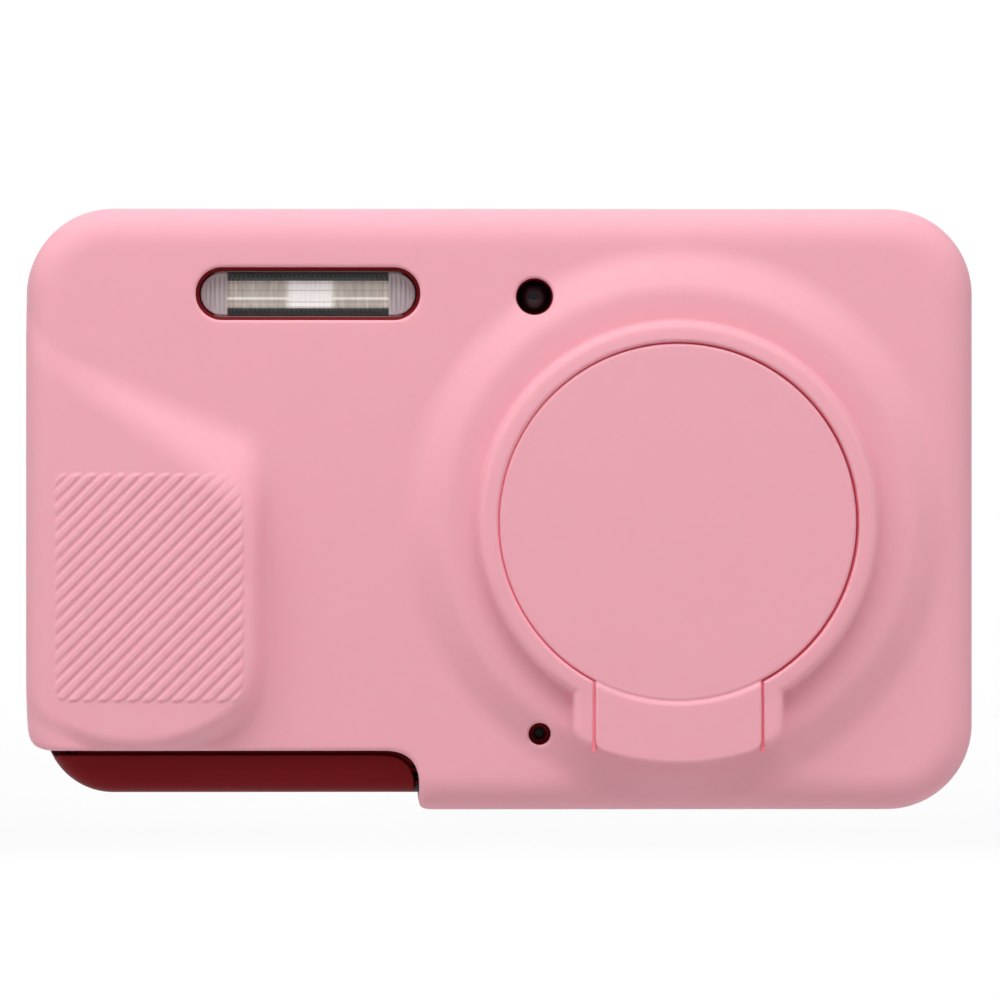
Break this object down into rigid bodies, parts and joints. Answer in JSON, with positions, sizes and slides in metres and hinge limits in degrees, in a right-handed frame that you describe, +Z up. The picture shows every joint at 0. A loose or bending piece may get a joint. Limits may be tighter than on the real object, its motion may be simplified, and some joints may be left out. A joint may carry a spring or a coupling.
{
  "type": "kids digital camera",
  "caption": "Pocket digital camera in a pink silicone sleeve with a fold-down lens cover, ridged finger grip, telescoping lens and hinged battery door.",
  "frame": {"origin": "on the plane the sleeve stands on, under the middle of the sleeve", "axes": "+Z up; -Y the way the lens looks; +X to the right of someone facing the lens"},
  "size_m": [0.095, 0.0268, 0.0604],
  "materials": {
    "silicone": "matt soft-touch silicone, pink",
    "red_shell": "dark red metallic lacquer on thin sheet",
    "satin_metal": "satin",
    "black_plastic": "matt black",
    "af_lens": "smoked lens, polished",
    "capacitor_can": "sleeved can",
    "steel": "plain",
    "brass": "plated contacts",
    "lens_glass": "coated optical glass",
    "flash_lens": "clear, finely ribbed",
    "reflector": "mirror",
    "screen": "polished, dark",
    "circuit_board": "solder mask",
    "battery_wrap": "plain wrap",
    "card_plastic": "plain",
    "dark_keys": "satin",
    "soft_rubber": "matt"
  },
  "bodies": {
    "camera_body": {"silicone_sleeve": "silicone", "front_shell": "red_shell", "frame_band": "satin_metal", "rear_shell": "red_shell", "chassis": "steel", "tripod_bush": "steel", "strap_lug": "steel", "screw_base_left": "steel", "screw_base_right": "steel", "screw_side_left": "steel", "screw_side_right": "steel", "lens_base_ring": "satin_metal", "lens_housing": "black_plastic", "rear_lens": "lens_glass", "image_sensor": "black_plastic", "sensor_plate": "steel", "zoom_motor": "steel", "flash_window": "flash_lens", "flash_reflector": "reflector", "flash_tube": "flash_lens", "flash_capacitor": "capacitor_can", "af_lamp_window": "af_lens", "microphone": "steel", "speaker": "black_plastic", "top_switch_board": "circuit_board", "shutter_spring": "steel", "battery_box": "black_plastic", "battery_contacts": "brass", "card_socket": "steel", "door_hinge_pin": "steel", "usb_socket": "steel", "lcd_window": "screen", "lcd_panel": "steel", "main_board": "circuit_board", "key_mat": "soft_rubber"},
    "lens_cover": {"lens_cover": "silicone"},
    "lens_stage_1": {"lens_barrel_outer": "satin_metal", "middle_lens_holder": "black_plastic", "middle_lens": "lens_glass"},
    "lens_stage_2": {"lens_barrel_inner": "black_plastic", "lens_front_ring": "black_plastic", "front_lens_holder": "black_plastic", "front_lens": "lens_glass"},
    "barrier_upper": {"barrier_blade_upper": "steel"},
    "barrier_lower": {"barrier_blade_lower": "steel"},
    "shutter": {"shutter_button": "satin_metal"},
    "zoom_ring": {"zoom_lever": "dark_keys"},
    "power_key": {"power_button": "satin_metal"},
    "menu_key": {"menu_button": "dark_keys"},
    "play_key": {"play_button": "dark_keys"},
    "delete_key": {"delete_button": "dark_keys"},
    "record_key": {"record_button": "dark_keys"},
    "ok_key": {"ok_button": "dark_keys"},
    "nav_carrier": {"nav_ring_carrier": "steel"},
    "nav_pad": {"nav_ring": "dark_keys"},
    "battery_door": {"battery_door": "red_shell"},
    "door_latch": {"door_latch": "dark_keys"},
    "battery": {"battery": "battery_wrap"},
    "memory_card": {"memory_card": "card_plastic"},
    "port_cover": {"port_cover": "soft_rubber"}
  },
  "joints": [
    {"name": "cover_hinge", "type": "hinge", "parent": "camera_body", "child": "lens_cover", "pos_m": [0.0177, -0.0134, 0.0069], "axis": [1, 0, 0], "range_deg": [0, 150]},
    {"name": "lens_extend", "type": "slide", "parent": "camera_body", "child": "lens_stage_1", "axis": [0, -1, 0], "range_m": [0, 0.0086]},
    {"name": "lens_extend_inner", "type": "slide", "parent": "lens_stage_1", "child": "lens_stage_2", "axis": [0, -1, 0], "range_m": [0, 0.0071]},
    {"name": "barrier_upper_turn", "type": "hinge", "parent": "lens_stage_2", "child": "barrier_upper", "pos_m": [0.009, -0.00923, 0.0289], "axis": [0, -1, 0], "range_deg": [0, 34]},
    {"name": "barrier_lower_turn", "type": "hinge", "parent": "lens_stage_2", "child": "barrier_lower", "pos_m": [0.0264, -0.00923, 0.0289], "axis": [0, -1, 0], "range_deg": [0, 34]},
    {"name": "shutter_press", "type": "slide", "parent": "camera_body", "child": "shutter", "axis": [0, 0, -1], "range_m": [0, 0.001], "deforming": ["shutter_spring"]},
    {"name": "zoom_turn", "type": "hinge", "parent": "camera_body", "child": "zoom_ring", "pos_m": [-0.033, 0.002, 0.0587], "axis": [0, 0, 1], "range_deg": [-20, 20]},
    {"name": "power_press", "type": "slide", "parent": "camera_body", "child": "power_key", "axis": [0, 0, -1], "range_m": [0, 0.0004]},
    {"name": "menu_press", "type": "slide", "parent": "camera_body", "child": "menu_key", "axis": [0, -1, 0], "range_m": [0, 0.00035]},
    {"name": "play_press", "type": "slide", "parent": "camera_body", "child": "play_key", "axis": [0, -1, 0], "range_m": [0, 0.00035]},
    {"name": "delete_press", "type": "slide", "parent": "camera_body", "child": "delete_key", "axis": [0, -1, 0], "range_m": [0, 0.00035]},
    {"name": "record_press", "type": "slide", "parent": "camera_body", "child": "record_key", "axis": [0, -1, 0], "range_m": [0, 0.00035]},
    {"name": "ok_press", "type": "slide", "parent": "camera_body", "child": "ok_key", "axis": [0, -1, 0], "range_m": [0, 0.00035]},
    {"name": "nav_tilt_x", "type": "hinge", "parent": "camera_body", "child": "nav_carrier", "pos_m": [-0.0298, 0.0098, 0.0215], "axis": [1, 0, 0], "range_deg": [-2, 2]},
    {"name": "nav_tilt_z", "type": "hinge", "parent": "nav_carrier", "child": "nav_pad", "pos_m": [-0.0298, 0.0098, 0.0215], "axis": [0, 0, 1], "range_deg": [-2, 2]},
    {"name": "door_hinge", "type": "hinge", "parent": "camera_body", "child": "battery_door", "pos_m": [-0.0263, 0.0078, 0.00275], "axis": [1, 0, 0], "range_deg": [0, 100]},
    {"name": "battery_eject", "type": "slide", "parent": "camera_body", "child": "battery", "axis": [0, 0, -1], "range_m": [0, 0.0101]},
    {"name": "card_eject", "type": "slide", "parent": "camera_body", "child": "memory_card", "axis": [0, 0, -1], "range_m": [0, 0.0046]},
    {"name": "latch_slide", "type": "slide", "parent": "battery_door", "child": "door_latch", "axis": [1, 0, 0], "range_m": [0, 0.002]},
    {"name": "port_hinge", "type": "hinge", "parent": "camera_body", "child": "port_cover", "pos_m": [0.0458, 0.0059, 0.029], "axis": [0, 0, 1], "range_deg": [0, 110]}
  ],
  "couplings": [
    {"joint": "lens_extend", "follows": "cover_hinge", "m_per_rad": 0.003247},
    {"joint": "lens_extend_inner", "follows": "cover_hinge", "m_per_rad": 0.002674},
    {"joint": "barrier_upper_turn", "follows": "cover_hinge", "ratio": 0.22},
    {"joint": "barrier_lower_turn", "follows": "cover_hinge", "ratio": 0.22},
    {"joint": "battery_eject", "follows": "door_hinge", "m_per_rad": 0.0057},
    {"joint": "card_eject", "follows": "door_hinge", "m_per_rad": 0.0025}
  ]
}
